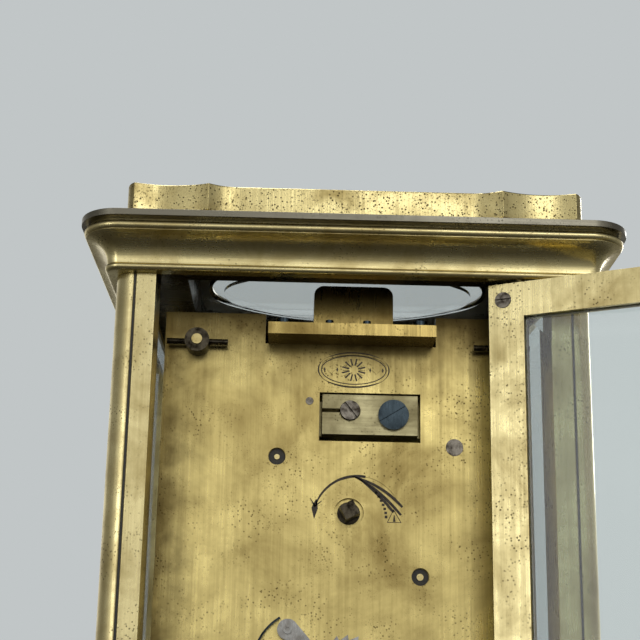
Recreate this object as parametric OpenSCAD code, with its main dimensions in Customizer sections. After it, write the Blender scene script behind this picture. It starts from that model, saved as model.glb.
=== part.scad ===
// Carriage clock with an open back door.
// Origin at the centre of the base's bottom face, +Z up, dial towards -Y, door towards +Y.

/* [Case] */
// Width of the case across the pillars
body_w = 70; // [70:0.5:78]
// Depth of the case across the pillars
body_d = 54; // [54:0.5:58]
// Height of the moulded base
base_h = 14; // [14:0.5:16]
// Length of the corner pillars
pillar_h = 80; // [80:0.5:84]
// Side of a corner pillar's section
pillar_w = 6.1; // [6:0.05:6.3]
// Overhang of the top plate past the pillars
top_over = 5.3; // [5.2:0.05:5.6]

/* [Door] */
// Angle at which the back door stands open
door_open = 155; // [0:1:158]
// Width of the door's stiles and rails
stile_w = 5.2; // [5:0.1:5.4]

/* [Handle] */
// Height of the handle's pivot above the base's bottom face
handle_lift = 3.2; // [3.2:0.05:4]
// Width of the strap that the handle is bent from
strap_w = 4.25; // [3.6:0.05:4.3]
// Thickness of the strap
strap_t = 2.6; // [2.4:0.1:2.6]

/* [Movement] */
// Thickness of the movement's plates
plate_t = 2; // [1.9:0.05:2]
// Half the width of the movement's plates
plate_x = 28.2; // [27.5:0.1:28.2]

/* [Hidden] */

$fn = 64;
e = 0.01;
slip = 0.05;             // running clearance round a pivot

// Case
hx = body_w / 2;
hy = body_d / 2;
lip_z = base_h + pillar_h;
corner_in = 0.6;         // corner centres of the mouldings lie this far inside the case faces
cx = hx - corner_in;
cy = hy - corner_in;
moulding_h = 6.85;
plate_z = lip_z + moulding_h;
top_t = 0.95;
top_z = plate_z + top_t;
open_x = 24.5;
open_y = 24.4;
window_a = 23;
window_b = 14.5;
window_end_r = 9.5;
window_y = 2.5;
pillar_r = 3;
groove_w = 0.5;
groove_d = 0.35;
glass_t = 1.9;
side_glass_x = 31.25;
front_glass_y = 23.3;
case_screw_x = hx - 3.1;
case_screw_y = hy - 3;

// Handle
pivot_z = top_z + handle_lift;
handle_x = 33.6;
handle_y = 30;
cusp_x = 21.6;
flat_x = 17;
flat_drop = 1.27;
scoop_depth = 1.2;
eye_r = 2.9;
post_x = 27;
post_t = handle_x - strap_t - 0.2 - post_x;

// Door, drawn shut and then swung open about its pins
door_x0 = -28.5;
door_x1 = 28.7;
door_y0 = 24.8;
door_t = 2.6;
door_z0 = base_h + 0.4;
door_z1 = lip_z - 0.4;
pin_x = door_x0 + 4.2;
pin_y = door_y0 + 1.6;
pin_r = 0.6;
groove_in = 1.2;
door_glass_t = 1.4;
corner_screw_in = 2.16;
corner_screw_down = 2.5;

// Movement plates, along Y
back_y = 17.5;
front_y = -8.5;
back_in = back_y - plate_t;
front_out = front_y - plate_t;
sink_h = 0.6;            // depth of the oil sinks in the back plate
plate_top = lip_z - 2.7;
seat_z = lip_z - 7.4;
seat_x = 13;
post_xm = 23.2;
post_top_z = lip_z - 7.8;
post_low_z = 22;
post_end_y = 20.5;
taper_y = 18.9;

// Train: axes run along Y, each place is [x, z]
great_teeth = 80;
inter_teeth = 60;
centre_teeth = 64;
third_teeth = 60;
great_m = 0.4;
inter_m = 0.4;
centre_m = 0.3783;
third_m = 0.38;
barrel_at = [0, 37];
centre_at = [0, 60.8];
contrate_at = [0, 76.2];
inter_leaves = 10;
centre_leaves = 10;
third_leaves = 8;
contrate_leaves = 8;
r_barrel_inter = (great_teeth + inter_leaves) * great_m / 2;
r_inter_centre = (inter_teeth + centre_leaves) * inter_m / 2;
r_centre_third = (centre_teeth + third_leaves) * centre_m / 2;
r_third_contrate = (third_teeth + contrate_leaves) * third_m / 2;
inter_at = meet(barrel_at, r_barrel_inter, centre_at, r_inter_centre, -1);
third_at = meet(centre_at, r_centre_third, contrate_at, r_third_contrate, 1);

// Crown teeth of the contrate wheel and the upright escape pinion
crown_teeth = 60;
crown_r = 7.5;
crown_w = 1;
escape_leaves = 6;
escape_pd = crown_r * 2 * escape_leaves / crown_teeth;
escape_y = -5;
crown_line = escape_y + escape_pd / 2;
crown_back = -2;
crown_tip = crown_line - 0.28;

// Platform and escapement, upright axes at [0, y]
plat_x = 12.5;
plat_y0 = front_out;
plat_y1 = back_y + 5.2;
plat_t = 1.8;
plat_z = seat_z + plat_t;
wheel_z = plat_z + 1.3;
wheel_t = 0.4;
escape_teeth = 15;
escape_r = 2.9;
lever_y = -0.9;
balance_y = 5.6;
balance_r = 6;
balance_z = plat_z + 4.4;
escape_cock_z = plat_z + 2.5;
cock_z = plat_z + 6.2;
cock_top = lip_z + 1.9;

// Motion work in front of the front plate
cannon_teeth = 12;
minute_teeth = 36;
minute_leaves = 10;
hour_teeth = 40;
r_motion = 8.4;
cannon_m = r_motion * 2 / (cannon_teeth + minute_teeth);
hour_m = r_motion * 2 / (minute_leaves + hour_teeth);
motion_dir = -60;
minute_at = centre_at + r_motion * [cos(motion_dir), sin(motion_dir)];
dial_r = 22;
dial_y = -17;
mask_y = -20;
mask_t = 0.8;
mask_r = 20.4;
mask_x = 30.5;

brass = "#b8954a";
gilt = "#cfae62";
steel = "#8d939b";
blued = "#2b3550";
glass = "#cfe3e6";
enamel = "#f4f2ea";

// Place at distance ra from a and rb from b, on the side that s gives
function meet(a, ra, b, rb, s) =
    let (d = b - a, l = norm(d), t = (ra * ra - rb * rb + l * l) / (2 * l))
    let (h = sqrt(ra * ra - t * t), u = d / l)
    a + t * u + s * h * [u[1], -u[0]];

// Direction from one place to another, in degrees
function aim(a, b) = atan2(b[1] - a[1], b[0] - a[0]);

// Corner of a tooth: pitch steps from the tooth's centre line, at a given radius
function tooth_point(n, k, step, r, phase) =
    let (t = phase + (k + step) * 360 / n) [r * cos(t), r * sin(t)];

// Toothed outline: n teeth of module m, with one tooth's centre line at angle phase
module toothed(n, m, phase, add, ded, root, tip) {
    r = n * m / 2;
    polygon([for (k = [0:n - 1], j = [0:3])
        tooth_point(n, k, [-root, -tip, tip, root][j] / 2,
            (j == 0 || j == 3) ? r - ded * m : r + add * m, phase)]);
}

module wheel_teeth(n, m, phase) toothed(n, m, phase, 0.9, 1.1, 0.42, 0.18);

module leaves(n, m, phase) toothed(n, m, phase, 0.55, 1.25, 0.38, 0.18);

// Puts a flat outline, drawn as [x, z], between y0 and y1
module along_y(y0, y1) translate([0, y1, 0]) rotate([90, 0, 0]) linear_extrude(y1 - y0) children();

// Round bar along Y at place p
module bar_y(p, r, y0, y1)
    translate([p[0], y1, p[1]]) rotate([90, 0, 0]) cylinder(h = y1 - y0, r = r);

// Round bar along X
module bar_x(x0, x1, y, z, r) translate([x0, y, z]) rotate([0, 90, 0]) cylinder(h = x1 - x0, r = r);

module at(p) translate([p[0], p[1]]) children();

// Box from one corner to the opposite one
module box(a, b) translate(a) cube(b - a);

// Slot across a screw head at the origin, in the plane of X and Y
module slot(len, wide, deep) translate([-len / 2, -wide / 2, -deep]) cube([len, wide, deep + 1]);

// Cheese-head screw along -Z with its head's top at the origin
module screw(head_r, head_h, shank_r, length, wide = 0.35) {
    difference() {
        translate([0, 0, -head_h]) cylinder(h = head_h, r = head_r);
        slot(head_r * 2 + 1, wide, head_h * 0.45);
    }
    translate([0, 0, -length]) cylinder(h = length - head_h + e, r = shank_r);
}

// Turns a screw that points along -Z so that its head faces +Y, with its slot at an angle
module face_back(slot_angle) rotate([-90, slot_angle, 0]) children();

// Rounded rectangle of the case, grown by o past the pillars' faces
module case_outline(o) {
    r = o + corner_in;
    square([2 * cx, 2 * (cy + r)], center = true);
    square([2 * (cx + r), 2 * cy], center = true);
    for (sx = [-1, 1], sy = [-1, 1])
        translate([sx * cx, sy * cy]) circle(r);
}

// Runs a profile, drawn as [overhang, height], all round the case and fills the middle
module moulding(h) {
    for (k = [0:3]) {
        place = [[cx, cy], [-cx, cy], [-cx, -cy], [cx, -cy]][k];
        run = k % 2 == 0 ? 2 * cx : 2 * cy;
        translate([place[0], place[1], 0]) rotate([0, 0, 90 * k]) {
            rotate_extrude(angle = 90) cut_profile() children();
            rotate([0, 0, 90]) rotate([90, 0, 0]) mirror([0, 0, 1])
                linear_extrude(run) cut_profile() children();
        }
    }
    translate([-cx - e, -cy - e, 0]) cube([2 * cx + 2 * e, 2 * cy + 2 * e, h]);
}

// Moves a profile so that the corner's centre line is at zero, and drops what lies inside it
module cut_profile() intersection() {
    translate([corner_in, 0]) children();
    translate([0, -1]) square([20, 40]);
}

module cornice_profile() {
    cove_r = 3.856;
    translate([-5, 0]) square([5.9, 1.25]);
    translate([0.9, 0.6]) circle(0.6);
    difference() {
        translate([-5, 0.6]) square([9.5, 4.45]);
        translate([1.3 + cove_r, 1.2]) circle(cove_r);
        translate([1.3, 0]) square([4, 1.2]);
    }
    translate([-5, 5]) square([9.1, 1.45]);
    translate([4.1, 5.725]) circle(0.725);
    translate([-5, 6.4]) square([9, moulding_h - 6.4]);
}

module base_profile() {
    cove_r = 8.47;
    lip_h = 1.5;
    translate([-5, base_h - lip_h - 0.1]) square([5.75, lip_h + 0.1]);
    translate([0.75, base_h - 0.75]) circle(0.75);
    difference() {
        translate([-5, 5.3]) square([9.4, base_h - 6]);
        translate([1.3 + cove_r, base_h - lip_h]) circle(cove_r);
        translate([1.3, base_h - lip_h]) square([4, 4]);
    }
    translate([-5, 4.1]) square([9.6, 1.3]);
    translate([4.6, 4.75]) circle(0.65);
    translate([-5, 0]) square([10.5, 4.2]);
}

module base() color(brass) difference() {
    moulding(base_h) base_profile();
    for (sx = [-1, 1], sy = [-1, 1])
        translate([sx * case_screw_x, sy * case_screw_y, -1]) {
            cylinder(h = base_h + 2, r = 1 + slip);
            cylinder(h = 5.5, r = 2.1);
        }
    for (sx = [-1, 1], y = [back_y - plate_t / 2, front_y - plate_t / 2])
        translate([sx * post_xm, y, -1]) {
            cylinder(h = base_h + 2, r = 0.6 + slip);
            cylinder(h = 5.5, r = 1.5);
        }
    translate([pin_x, pin_y, base_h - 3]) cylinder(h = 4, r = pin_r + slip);
}

module cornice() color(brass) difference() {
    translate([0, 0, lip_z]) moulding(moulding_h) cornice_profile();
    translate([-open_x, -open_y, lip_z - 1]) cube([2 * open_x, 2 * open_y, moulding_h + 2]);
    for (sx = [-1, 1], sy = [-1, 1])
        translate([sx * case_screw_x, sy * case_screw_y, lip_z - 1]) {
            cylinder(h = 9, r = 1 + slip);
            translate([0, 0, 5.6]) cylinder(h = 4, r = 2.1);
        }
    translate([pin_x, pin_y, lip_z - 1]) cylinder(h = 4, r = pin_r + slip);
}

// Oval of half-lengths a and b whose ends are arcs of radius r1
module oval(a, b, r1) {
    c = a - r1;
    d = (c * c - (b - r1) * (b - r1)) / (2 * (b - r1));
    r2 = b + d;
    edge = c * r2 / (r2 - r1);
    intersection() {
        translate([0, -d]) circle(r2);
        translate([0, d]) circle(r2);
        square([2 * edge, 3 * b], center = true);
    }
    for (s = [-1, 1])
        translate([s * c, 0]) circle(r1);
}

module top_plate() color(brass) difference() {
    translate([0, 0, plate_z]) linear_extrude(top_t) case_outline(top_over);
    translate([0, window_y, plate_z - 1]) linear_extrude(top_t - 0.3 + 1)
        oval(window_a, window_b, window_end_r, $fn = 128);
    translate([0, window_y, plate_z - 1]) linear_extrude(top_t + 2)
        oval(window_a - 0.6, window_b - 0.6, window_end_r - 0.6, $fn = 128);
    for (s = [-1, 1])
        translate([s * (post_x + post_t / 2), 0, plate_z - 1]) cylinder(h = 3, r = 0.9 + slip);
}

module top_glass() color(glass) {
    translate([0, window_y, plate_z - 0.75]) linear_extrude(1.4)
        oval(window_a - slip, window_b - slip, window_end_r - slip, $fn = 128);
    translate([0, window_y, plate_z - 1.3]) linear_extrude(0.6)
        oval(window_a - 2.5, window_b - 2.5, window_end_r - 2.5, $fn = 128);
}

// Section of the pillar at +X +Y, with grooves in its outer faces and slots for the panes
module pillar_section(front) difference() {
    union() {
        translate([hx - pillar_w, hy - pillar_w]) square([pillar_w - pillar_r, pillar_w]);
        translate([hx - pillar_w, hy - pillar_w]) square([pillar_w, pillar_w - pillar_r]);
        translate([hx - pillar_r, hy - pillar_r]) circle(pillar_r);
    }
    polygon([[hx - pillar_r - groove_w / 2, hy + e], [hx - pillar_r + groove_w / 2, hy + e],
        [hx - pillar_r, hy - groove_d]]);
    polygon([[hx + e, hy - pillar_r - groove_w / 2], [hx + e, hy - pillar_r + groove_w / 2],
        [hx - groove_d, hy - pillar_r]]);
    translate([side_glass_x - slip, hy - pillar_w - 1]) square([glass_t + 2 * slip, 2]);
    if (front)
        translate([hx - pillar_w - 1, front_glass_y - slip]) square([2, glass_t + 2 * slip]);
    translate([case_screw_x, case_screw_y]) circle(0.98);
}

module pillar(sx, sy) color(brass) translate([0, 0, base_h])
    mirror([sx < 0 ? 1 : 0, 0, 0]) mirror([0, sy < 0 ? 1 : 0, 0])
        linear_extrude(pillar_h) pillar_section(sy < 0);

module pillar_front_left() pillar(1, -1);
module pillar_front_right() pillar(-1, -1);
module pillar_back_left() pillar(1, 1);
module pillar_back_right() pillar(-1, 1);

// Edge-on outline of a bevelled pane of half-length a, as [length, thickness]
module bevel_edge(a, t, w, edge) polygon([[-a, 0], [a, 0], [a, edge], [a - w, t], [w - a, t], [-a, edge]]);

// Pane of half-size a by b and thickness t, bevelled on its +Z face
module pane(a, b, t, w = 4, edge = 0.9) intersection() {
    translate([0, b, 0]) rotate([90, 0, 0]) linear_extrude(2 * b) bevel_edge(a, t, w, edge);
    translate([-a, 0, 0]) rotate([90, 0, 90]) linear_extrude(2 * a) bevel_edge(b, t, w, edge);
}

pane_b = (pillar_h - 0.1) / 2;
pane_z = base_h + pillar_h / 2;

module side_pane() color(glass) translate([side_glass_x, 0, pane_z]) rotate([0, 90, 0])
    pane(pane_b, hy - pillar_w + 0.9, glass_t);
module left_glass() side_pane();
module right_glass() mirror([1, 0, 0]) side_pane();
module front_glass() color(glass) translate([0, -front_glass_y, pane_z]) rotate([90, 0, 0])
    pane(hx - pillar_w + 0.8, pane_b, glass_t);

module case_screws() color(steel) for (sx = [-1, 1], sy = [-1, 1])
    translate([sx * case_screw_x, sy * case_screw_y, 0]) {
        translate([0, 0, 3]) rotate([180, 0, 0]) screw(1.9, 1.5, 0.95, 21, 0.5);
        translate([0, 0, lip_z + 6.1]) screw(1.9, 1.5, 0.95, 16, 0.5);
    }

// Outer edge of the handle in its own plane, as [x, y]
module handle_outer() {
    scoop_c = (cusp_x + handle_x) / 2;
    scoop_half = (handle_x - cusp_x) / 2;
    scoop_r = (scoop_half * scoop_half + scoop_depth * scoop_depth) / (2 * scoop_depth);
    rise = cusp_x - flat_x;
    rise_r = (rise * rise + flat_drop * flat_drop) / (2 * flat_drop);
    round_r = 2.5;
    difference() {
        union() {
            translate([-handle_x, 0]) square([2 * handle_x, handle_y - round_r]);
            translate([round_r - handle_x, 0]) square([2 * (handle_x - round_r), handle_y]);
            for (s = [-1, 1])
                translate([s * (handle_x - round_r), handle_y - round_r]) circle(round_r);
        }
        translate([-flat_x, handle_y - flat_drop]) square([2 * flat_x, 9]);
        for (s = [-1, 1]) {
            translate([s * scoop_c, handle_y - scoop_depth + scoop_r]) circle(scoop_r);
            translate([s * flat_x, handle_y - flat_drop + rise_r]) circle(rise_r);
        }
    }
}

module handle_inner() {
    in_x = handle_x - strap_t;
    in_y = handle_y - flat_drop - strap_t;
    r = 2;
    translate([-in_x, -1]) square([2 * in_x, in_y + 1 - r]);
    translate([r - in_x, -1]) square([2 * (in_x - r), in_y + 1]);
    for (s = [-1, 1])
        translate([s * (in_x - r), in_y - r]) circle(r);
}

module handle() color(brass) difference() {
    union() {
        translate([0, 0, pivot_z - strap_w / 2]) linear_extrude(strap_w) difference() {
            handle_outer();
            handle_inner();
        }
        for (s = [-1, 1])
            bar_x(s * (handle_x - strap_t / 2) - strap_t / 2,
                s * (handle_x - strap_t / 2) + strap_t / 2, 0, pivot_z, eye_r);
    }
    for (s = [-1, 1])
        bar_x(s * handle_x - 5, s * handle_x + 5, 0, pivot_z, 1 + slip);
}

module handle_post() color(brass) difference() {
    union() {
        bar_x(post_x, post_x + post_t, 0, pivot_z, 2.3);
        translate([post_x, -2.3, top_z]) cube([post_t, 4.6, pivot_z - top_z]);
        translate([post_x + post_t / 2, 0, top_z]) cylinder(h = 0.5, r = 2.9);
        translate([post_x + post_t / 2, 0, plate_z]) cylinder(h = 1.4, r = 0.9);
    }
    bar_x(post_x + 0.8, post_x + 6, 0, pivot_z, 1);
    translate([post_x + post_t, -4, top_z - 1]) cube([3, 8, 9]);
}
module handle_post_left() handle_post();
module handle_post_right() mirror([1, 0, 0]) handle_post();

module handle_pivot_screws() color(blued) for (s = [0, 1]) mirror([s, 0, 0])
    translate([handle_x + 0.75, 0, pivot_z]) rotate([0, 90, 0]) screw(1.9, 0.7, 0.97, 6.5, 0.45);

// Swings what is drawn shut to the angle at which the door stands
module swung() translate([pin_x, pin_y, 0]) rotate([0, 0, door_open])
    translate([-pin_x, -pin_y, 0]) children();

module door_frame() color(brass) swung() difference() {
    box([door_x0, door_y0, door_z0], [door_x1, door_y0 + door_t, door_z1]);
    box([door_x0 + stile_w, door_y0 - 1, door_z0 + stile_w],
        [door_x1 - stile_w, door_y0 + door_t + 1, door_z1 - stile_w]);
    box([door_x0 + stile_w - groove_in, door_y0 + 0.55, door_z0 + stile_w - groove_in],
        [door_x1 - stile_w + groove_in, door_y0 + 0.65 + door_glass_t, door_z1 - stile_w + groove_in]);
    translate([pin_x, pin_y, door_z0 - 1]) cylinder(h = 4, r = pin_r);
    translate([pin_x, pin_y, door_z1 - 3]) cylinder(h = 4, r = pin_r);
    door_screw_places() {
        translate([0, 0, -0.5]) cylinder(h = 1, r = 1.22);
        translate([0, 0, -2]) cylinder(h = 3, r = 0.6);
    }
    bar_y([door_x1 - stile_w / 2, pane_z], 0.7, door_y0 + 1, door_y0 + 4);
}

// The four places of the door's corner screws, with +Z out of the door's inner face
module door_screw_places() for (x = [door_x0 + corner_screw_in, door_x1 - corner_screw_in],
    z = [door_z0 + corner_screw_down, door_z1 - corner_screw_down])
        translate([x, door_y0, z]) rotate([90, 0, 0]) children();

module door_glass() color(glass) swung()
    translate([(door_x0 + door_x1) / 2, door_y0 + 0.6, pane_z]) rotate([-90, 0, 0])
        pane((door_x1 - door_x0) / 2 - stile_w + groove_in - slip,
            (door_z1 - door_z0) / 2 - stile_w + groove_in - slip, door_glass_t, 5, 0.6);

module door_hinge_pins() color(steel) swung() {
    translate([pin_x, pin_y, door_z0 - 3]) cylinder(h = 6, r = pin_r);
    translate([pin_x, pin_y, door_z1 - 3]) cylinder(h = 6, r = pin_r);
}

module door_corner_screws() color(steel) swung() door_screw_places()
    translate([0, 0, 0.15]) screw(1.2, 0.6, 0.6, 2.1, 0.4);

module door_knob() color(brass) swung()
    translate([door_x1 - stile_w / 2, door_y0 + door_t, pane_z]) rotate([-90, 0, 0])
        rotate_extrude() {
            translate([0, -1.6]) square([0.7, 1.7]);
            square([1.7, 0.4]);
            translate([0, 0.3]) square([0.8, 1.2]);
            intersection() {
                translate([0, 1.9]) circle(1.5);
                translate([0, 0.9]) square([2, 1.6]);
            }
        }

// Outline of a movement plate, as [x, z]: a notch on top for the platform and a gap between the feet
module plate_outline() difference() {
    translate([-plate_x, base_h]) square([2 * plate_x, plate_top - base_h]);
    translate([-seat_x, seat_z]) square([2 * seat_x, 20]);
    translate([-16, base_h - 1]) square([32, 4.5]);
}

// Holes in a plate's edges: for the screws through the base, and for those through the platform
module edge_holes(y) for (s = [-1, 1]) {
    translate([s * post_xm, y, base_h - 1]) cylinder(h = 4, r = 0.59);
    translate([s * 10, y, seat_z - 3]) cylinder(h = 4, r = 0.71);
}

module post_holes(r) for (s = [-1, 1], z = [post_low_z, post_top_z])
    translate([s * post_xm, z]) circle(r);

module pivot_hole(p, r) at(p) circle(r + slip);

module front_plate() color(gilt) difference() {
    along_y(front_out, front_y) difference() {
        plate_outline();
        post_holes(1.4);
        pivot_hole(barrel_at, 2.2);
        pivot_hole(inter_at, 0.5);
        pivot_hole(centre_at, 1.1);
        pivot_hole(third_at, 0.4);
        pivot_hole(contrate_at, 0.35);
        pivot_hole(minute_at, 0.5);
        for (a = [20, 200])
            translate(centre_at + 18 * [cos(a), sin(a)]) circle(0.7);
    }
    edge_holes(front_y - plate_t / 2);
}

// Window in the back plate round the contrate block, as [x, z]
module block_window() translate([-10.6, 71.6]) square([15.2, 7.5]);

module back_plate() color(gilt) difference() {
    union() {
        along_y(back_in, back_y) difference() {
            plate_outline();
            post_holes(1.25);
            pivot_hole(barrel_at, 2.2);
            pivot_hole(inter_at, 0.5);
            pivot_hole(centre_at, 1.65);
            pivot_hole(third_at, 0.4);
            block_window();
            at(click_at) circle(0.7);
            at(spring_at) circle(0.5);
        }
        stamp();
    }
    arrow();
    edge_holes(back_y - plate_t / 2);
    for (p = plugs)
        bar_y([p[0], p[1]], p[2], back_y - 1, back_y + 1);
    for (p = [inter_at, third_at])
        bar_y(p, 1.3, back_y - sink_h, back_y + 1);
    bar_y(centre_at, 2.2, back_y - sink_h, back_y + 1);
}

// Small steel plugs in the back plate, as [x, z, radius]
plugs = [[-15.7, 71, 1.3], [6.1, 77.7, 0.6]];
module plate_pins() color(steel) for (p = plugs)
    bar_y([p[0], p[1]], p[2] - e, back_y - 1, back_y + 0.1);

// Plain oval ornament: a raised border round a ring of rays
stamp_at = [-0.5, 82.7];
module stamp() along_y(back_y - e, back_y + 0.12) translate(stamp_at) {
    difference() {
        oval(5.25, 2.6, 2);
        oval(5, 2.35, 1.75);
    }
    for (k = [0:11])
        rotate(30 * k) translate([0.8, -0.08]) square([0.9, 0.16]);
    for (s = [-1, 1])
        translate([s * 3.4, 0]) rotate(45) square(0.9, center = true);
}

// Engraved arrow over the hand-setting square: a curved shaft that widens to its tail, and a head
arrow_out = [-1.3, -1, 6.55];
arrow_in = [-0.15, -0.75, 5.75];
module arrow() along_y(back_y - 0.12, back_y + 1) translate(centre_at) {
    intersection() {
        difference() {
            at([arrow_out[0], arrow_out[1]]) circle(arrow_out[2]);
            at([arrow_in[0], arrow_in[1]]) circle(arrow_in[2]);
        }
        translate([-10, 0.4]) square([14.9, 10]);
    }
    polygon([[5.6, 1.5], [5.1, -0.6], [3.9, 1.2], [4.8, 0.9]]);
}

module movement_pillars() color(brass) difference() {
    for (s = [-1, 1], z = [post_low_z, post_top_z]) {
        bar_y([s * post_xm, z], 2.4, front_y, back_in);
        bar_y([s * post_xm, z], 1.38, front_out, front_y + e);
        bar_y([s * post_xm, z], 1.2, back_in - e, taper_y + 0.7);
        bar_y([s * post_xm, z], 0.8, taper_y, post_end_y);
    }
    for (s = [-1, 1], z = [post_low_z, post_top_z])
        bar_x(s * post_xm - 5, s * post_xm + 5, taper_y, z, 0.45);
}

// Collars that the taper pins hold against the back plate
module pillar_collars() color(steel) difference() {
    for (s = [-1, 1], z = [post_low_z, post_top_z])
        bar_y([s * post_xm, z], 1.85, back_y, post_end_y - 0.3);
    for (s = [-1, 1], z = [post_low_z, post_top_z]) {
        bar_y([s * post_xm, z], 1.22, back_y - 1, taper_y + 0.72);
        bar_y([s * post_xm, z], 0.82, taper_y, post_end_y);
        bar_x(s * post_xm - 5, s * post_xm + 5, taper_y, z, 0.45);
    }
}

module taper_pins() color(steel) for (s = [-1, 1], z = [post_low_z, post_top_z])
    bar_x(s * post_xm - 4.6, s * post_xm + 4.6, taper_y, z, 0.44);

module movement_screws() color(steel)
    for (s = [-1, 1], y = [back_y - plate_t / 2, front_y - plate_t / 2])
        translate([s * post_xm, y, 3.3]) rotate([180, 0, 0]) screw(1.4, 1.2, 0.58, 13.2, 0.4);

// Barrel, cover and arbor
drum_r = 14.5;
drum_y0 = -6;
drum_y1 = 5;
module barrel() color(brass) difference() {
    union() {
        bar_y(barrel_at, drum_r, drum_y0, drum_y1 + e);
        along_y(drum_y1, drum_y1 + 2) at(barrel_at)
            wheel_teeth(great_teeth, great_m, aim(barrel_at, inter_at));
    }
    bar_y(barrel_at, drum_r - 1, drum_y0 - 1, drum_y1 + 0.4);
    bar_y(barrel_at, 2.6 + slip, drum_y0 - 1, drum_y1 + 3);
}

module barrel_cover() color(brass) difference() {
    bar_y(barrel_at, drum_r - 1 - 0.01, drum_y0, drum_y0 + 1);
    bar_y(barrel_at, 2.6 + slip, drum_y0 - 1, drum_y1 + 3);
}

square_w = 2.6;
module barrel_arbor() color(steel) {
    bar_y(barrel_at, 2.6, drum_y0 - 0.3, drum_y1 + 2.3);
    bar_y(barrel_at, 2.2, front_out - 0.3, back_y + 0.2);
    translate([barrel_at[0] - square_w / 2, back_y, barrel_at[1] - square_w / 2])
        cube([square_w, 5.5, square_w]);
}

// Flat spiral from radius r0 to r1, w wide, with the given number of turns and points a turn
function spiral_point(t, r0, r1, turns) =
    let (r = r0 + (r1 - r0) * t, a = 360 * turns * t) [r * cos(a), r * sin(a)];
module spiral(r0, r1, w, turns, steps) {
    n = turns * steps;
    polygon(concat(
        [for (k = [0:n]) spiral_point(k / n, r0, r1, turns)],
        [for (k = [n:-1:0]) spiral_point(k / n, r0 + w, r1 + w, turns)]));
}

module mainspring() color(steel) along_y(drum_y0 + 1.3, drum_y1 - 0.1) at(barrel_at)
    spiral(3.1, 12.6, 0.45, 7, 24);

ratchet_teeth = 24;
ratchet_r = 6;
ratchet_y = back_y + 0.3;
click_at = [8.6, 43.6];
click_tip = 6.15;
spring_at = [13.5, 38.5];
blade_r = 8;
module ratchet_wheel() color(steel) along_y(ratchet_y, ratchet_y + 1) at(barrel_at) difference() {
    polygon([for (k = [0:ratchet_teeth - 1], j = [0, 1])
        let (t = (k + j * 0.12) * 360 / ratchet_teeth, r = j == 0 ? ratchet_r : ratchet_r - 0.8)
            [r * cos(t), r * sin(t)]]);
    square(square_w + 0.02, center = true);
}

module click() color(steel) difference() {
    union() {
        along_y(ratchet_y, ratchet_y + 1) {
            at(click_at) circle(1.5);
            polygon([click_at + [-1.2, 0.9], click_at + [0.2, -1.4],
                barrel_at + click_tip * [cos(38), sin(38)],
                barrel_at + click_tip * [cos(43), sin(43)]]);
        }
        bar_y(click_at, 0.65, back_in, ratchet_y + 1.4);
    }
    translate([click_at[0], ratchet_y + 2, click_at[1]]) rotate([90, 0, 0]) cylinder(h = 0.9, r = 0.3);
}

module click_spring() color(blued) {
    bar_y(spring_at, 0.48, back_in, ratchet_y + 0.5);
    along_y(ratchet_y + 0.2, ratchet_y + 0.7) {
        at(spring_at) circle(1);
        intersection() {
            translate([spring_at[0] - blade_r, spring_at[1]]) difference() {
                circle(blade_r + 0.15);
                circle(blade_r - 0.15);
            }
            translate([spring_at[0] - blade_r, spring_at[1]])
                polygon([[0, 0], [20, 0], [20, 20], [20 * cos(58), 20 * sin(58)]]);
        }
    }
}

// Arbor with a pinion and a wheel, all along Y
module arbor(p, r, pivot_r, y0, y1) {
    bar_y(p, r, y0, y1);
    bar_y(p, pivot_r, front_out, y0 + e);
    bar_y(p, pivot_r, y1 - e, back_y - sink_h + 0.2);
}

// Wheel with five crossings, between y0 and y1
module crossed(p, r_in, r_out, n) difference() {
    children();
    at(p) intersection() {
        difference() {
            circle(r_out);
            circle(r_in);
        }
        for (k = [0:n - 1])
            rotate(360 * k / n) polygon([[1.2, 0.7], [r_out * 1.3, 0.7],
                [r_out * 1.3 * cos(360 / n), r_out * 1.3 * sin(360 / n) - 0.8],
                [1.2 * cos(360 / n) + 0.7, 1.2 * sin(360 / n) + 0.2]]);
    }
}

module wheel_at(p, n, m, phase, y0, y1) along_y(y0, y1)
    crossed(p, 3, n * m / 2 - 1.6, 5) at(p) wheel_teeth(n, m, phase);
module pinion_at(p, n, m, phase, y0, y1) along_y(y0, y1) at(p) leaves(n, m, phase);
function facing(n, a, b) = aim(a, b) + 180 + 180 / n;

module intermediate_wheel() color(brass) {
    arbor(inter_at, 1.1, 0.5, front_y + 0.1, back_in - 0.1);
    pinion_at(inter_at, inter_leaves, great_m, facing(inter_leaves, barrel_at, inter_at), 4, 8);
    wheel_at(inter_at, inter_teeth, inter_m, aim(inter_at, centre_at), 9.5, 10.7);
    bar_y(inter_at, 2.2, 8, 9.6);
}

// Arbor of the centre wheel, with the hand-setting square at its back end
module centre_arbor() color(steel) {
    bar_y(centre_at, 1.1, front_out - 2, front_y + 0.2);
    bar_y(centre_at, 0.75, mask_y + 0.1, front_out);
    bar_y(centre_at, 1.3, front_y + 0.1, back_in - 0.1);
    bar_y(centre_at, 1.65, back_in - 0.2, back_y - sink_h);
    translate([centre_at[0], back_y - sink_h - e, centre_at[1]]) rotate([0, 28, 0])
        translate([-set_w / 2, 0, -set_w / 2]) cube([set_w, 3 + sink_h, set_w]);
    pinion_at(centre_at, centre_leaves, inter_m, facing(centre_leaves, inter_at, centre_at), 8.5, 12);
}

set_w = 2.2;
module centre_wheel() color(brass) difference() {
    union() {
        wheel_at(centre_at, centre_teeth, centre_m, aim(centre_at, third_at), -7.6, -6.6);
        bar_y(centre_at, 2.2, -6.7, -5);
    }
    bar_y(centre_at, 1.3, front_y, back_in);
}

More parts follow.
